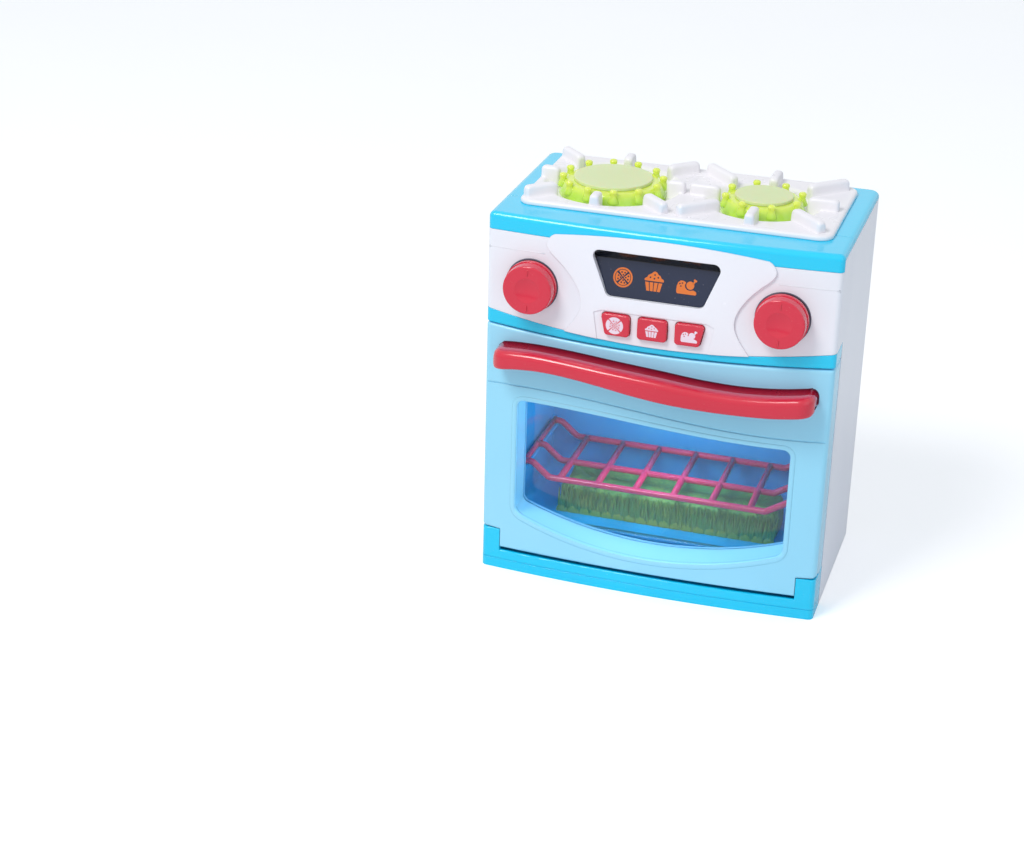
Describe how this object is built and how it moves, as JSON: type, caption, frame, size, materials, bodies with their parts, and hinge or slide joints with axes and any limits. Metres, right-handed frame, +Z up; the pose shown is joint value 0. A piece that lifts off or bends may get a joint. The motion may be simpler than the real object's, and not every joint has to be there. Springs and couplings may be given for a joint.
{
  "type": "toy oven",
  "caption": "Toy oven in white, cyan and aqua plastic with a drop-down glazed door, two red knobs, three red keys, a dark display and a hob with two lime burners.",
  "frame": {"origin": "middle of the base on the surface it stands on", "axes": "X to the right seen from the front, Y to the back, Z up"},
  "size_m": [0.22, 0.1554, 0.2547],
  "materials": {
    "housing": "smooth white moulded plastic",
    "deck": "glossy cyan moulded plastic",
    "door": "glossy pale aqua moulded plastic",
    "fascia": "smooth white moulded plastic",
    "display": "dark navy gloss plastic",
    "red": "glossy red moulded plastic",
    "pane": "clear moulded plastic",
    "liner": "smooth blue moulded plastic",
    "rack": "glossy crimson moulded plastic",
    "garnish": "rough green plastic",
    "tray": "smooth white moulded plastic",
    "lime": "translucent lime plastic",
    "cap": "satin pale green plastic",
    "steel": "zinc-plated steel",
    "board": "green circuit board",
    "lamp": "clear lamp",
    "black": "black moulded plastic",
    "cell": "printed metal sleeve"
  },
  "bodies": {
    "oven": {"front_housing": "housing", "rear_housing": "housing", "housing_screws": "steel", "deck_front": "deck", "deck_rear": "deck", "mid_strip": "deck", "base_plinth": "deck", "centre_fascia": "fascia", "display_panel": "display", "display_lamps": "lamp", "key_switches": "black", "circuit_board": "board", "oven_liner": "liner", "oven_lamp": "lamp", "oven_rack": "rack", "garnish_bed": "garnish", "hob_tray": "tray", "burner_left_crown": "lime", "burner_left_cap": "cap", "burner_right_crown": "lime", "burner_right_cap": "cap", "burner_lamps": "lamp", "speaker": "black", "power_switch_body": "black", "battery_box": "housing", "batteries": "cell", "battery_contacts": "steel", "battery_cover": "housing", "battery_cover_screw": "steel"},
    "door": {"door_shell": "door", "window_pane": "pane", "door_cover": "door", "door_screws": "steel", "hinge_pins": "steel", "door_handle": "red", "handle_screws": "steel"},
    "knob_left_body": {"knob_left": "red", "knob_left_washer": "steel", "knob_left_screw": "steel"},
    "knob_right_body": {"knob_right": "red", "knob_right_washer": "steel", "knob_right_screw": "steel"},
    "key_left_body": {"key_left": "red"},
    "key_middle_body": {"key_middle": "red"},
    "key_right_body": {"key_right": "red"},
    "switch_slider_body": {"power_switch_slider": "black"}
  },
  "joints": [
    {"name": "door_hinge", "type": "hinge", "parent": "oven", "child": "door", "pos_m": [0, -0.0618, 0.0236], "axis": [1, 0, 0], "range_deg": [0, 85]},
    {"name": "knob_left_turn", "type": "hinge", "parent": "oven", "child": "knob_left_body", "pos_m": [-0.0801, -0.066, 0.2013], "axis": [0, 1, 0], "continuous": true},
    {"name": "knob_right_turn", "type": "hinge", "parent": "oven", "child": "knob_right_body", "pos_m": [0.0765, -0.066, 0.2013], "axis": [0, 1, 0], "continuous": true},
    {"name": "key_left_press", "type": "slide", "parent": "oven", "child": "key_left_body", "axis": [0, 1, 0], "range_m": [0, 0.0012], "stiffness_N_per_m": 400, "springref_m": -0.001},
    {"name": "key_middle_press", "type": "slide", "parent": "oven", "child": "key_middle_body", "axis": [0, 1, 0], "range_m": [0, 0.0012], "stiffness_N_per_m": 400, "springref_m": -0.001},
    {"name": "key_right_press", "type": "slide", "parent": "oven", "child": "key_right_body", "axis": [0, 1, 0], "range_m": [0, 0.0012], "stiffness_N_per_m": 400, "springref_m": -0.001},
    {"name": "power_switch_slide", "type": "slide", "parent": "oven", "child": "switch_slider_body", "axis": [1, 0, 0], "range_m": [0, 0.004]}
  ]
}
